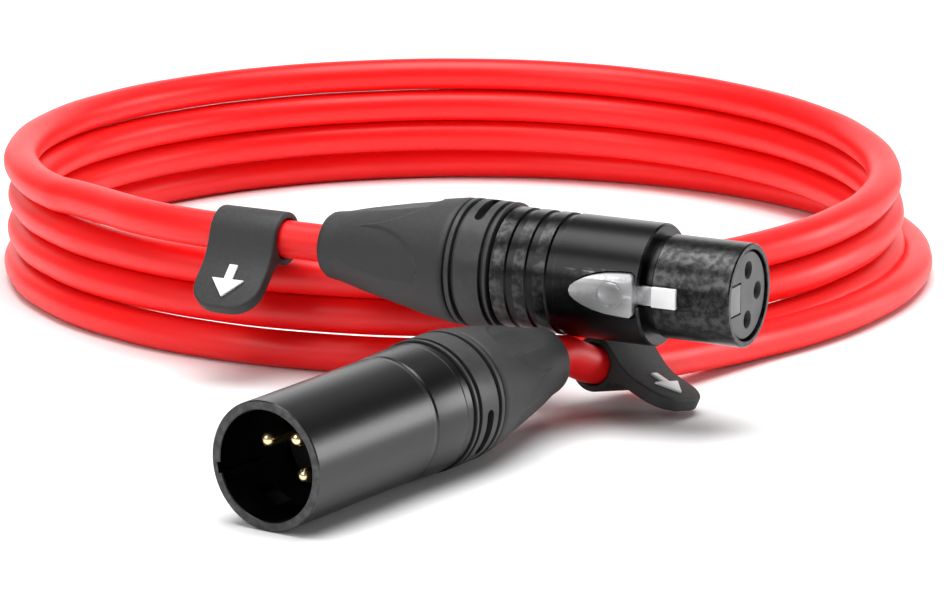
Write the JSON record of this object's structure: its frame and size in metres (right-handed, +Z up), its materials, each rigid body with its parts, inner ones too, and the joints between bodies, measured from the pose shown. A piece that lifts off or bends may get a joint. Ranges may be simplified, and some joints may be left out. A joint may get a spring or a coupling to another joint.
{
  "type": "xlr cable",
  "caption": "Coiled round microphone cable with a latching female and a male XLR connector, screw-on boots and a rubber tag at each end.",
  "frame": {"origin": "centre of the bounding box's base, on the surface the coil lies on", "axes": "+Z up, +Y from the connectors towards the far side of the coil, +X to the right as seen from the connectors"},
  "size_m": [0.1636, 0.2541, 0.0321],
  "materials": {
    "jacket": "satin red PVC jacket",
    "boot": "matt rubber",
    "gland": "satin moulded plastic",
    "shell": "satin black plated metal",
    "insert": "moulded plastic",
    "contact": "gold-plated",
    "latch": "satin nickel-plated metal",
    "tag": "matt moulded rubber",
    "mark": "raised white print",
    "conductor": "core insulation",
    "clamp": "natural nylon"
  },
  "bodies": {
    "root": {"cable_coil": "jacket", "cable_to_female": "jacket", "cable_to_male": "jacket", "female_shell": "shell", "female_insert": "insert", "female_contact_1": "contact", "female_contact_2": "contact", "female_contact_3": "contact", "female_key": "latch", "latch_pin": "latch", "female_conductor_1": "conductor", "female_conductor_2": "conductor", "female_conductor_3": "conductor", "male_shell": "shell", "male_insert": "insert", "male_pin_1": "contact", "male_pin_2": "contact", "male_pin_3": "contact", "male_ground_clip": "latch", "male_conductor_1": "conductor", "male_conductor_2": "conductor", "male_conductor_3": "conductor"},
    "latch": {"latch_lever": "latch", "latch_spring": "latch"},
    "female_clamp": {"female_clamp": "clamp"},
    "female_boot": {"female_boot": "boot", "female_gland": "gland"},
    "male_clamp": {"male_clamp": "clamp"},
    "male_boot": {"male_boot": "boot", "male_gland": "gland"},
    "female_tag": {"female_tag": "tag", "female_tag_mark": "mark"},
    "male_tag": {"male_tag": "tag", "male_tag_mark": "mark"}
  },
  "joints": [
    {"name": "latch_press", "type": "hinge", "parent": "root", "child": "latch", "pos_m": [0.01852, -0.06448, 0.02188], "axis": [0.0078, -0.004, 1], "range_deg": [0, 4], "stiffness_Nm_per_rad": 0.2, "springref_deg": -2.86},
    {"name": "female_boot_feed", "type": "slide", "parent": "root", "child": "female_clamp", "axis": [-0.891, 0.454, 0.0087], "range_m": [0, 0.0025]},
    {"name": "female_boot_turn", "type": "hinge", "parent": "female_clamp", "child": "female_boot", "pos_m": [0.00325, -0.04951, 0.02206], "axis": [-0.891, 0.454, 0.0087], "range_deg": [0, 900.2]},
    {"name": "male_boot_feed", "type": "slide", "parent": "root", "child": "male_clamp", "axis": [0.5678, 0.8231, 0.0122], "range_m": [0, 0.0025]},
    {"name": "male_boot_turn", "type": "hinge", "parent": "male_clamp", "child": "male_boot", "pos_m": [-0.0042, -0.08715, 0.01001], "axis": [0.5678, 0.8231, 0.0122], "range_deg": [0, 900.2]},
    {"name": "female_tag_turn", "type": "hinge", "parent": "root", "child": "female_tag", "pos_m": [-0.03391, -0.03058, 0.02242], "axis": [-0.891, 0.454, 0.0087], "range_deg": [0, 110]},
    {"name": "male_tag_turn", "type": "hinge", "parent": "root", "child": "male_tag", "pos_m": [0.02305, -0.0506, 0.0064], "axis": [-0.6331, -0.7564, 0.1644], "range_deg": [-2, 35]}
  ],
  "couplings": [
    {"joint": "female_boot_turn", "follows": "female_boot_feed", "rad_per_m": 6283.2},
    {"joint": "male_boot_turn", "follows": "male_boot_feed", "rad_per_m": 6283.2}
  ]
}
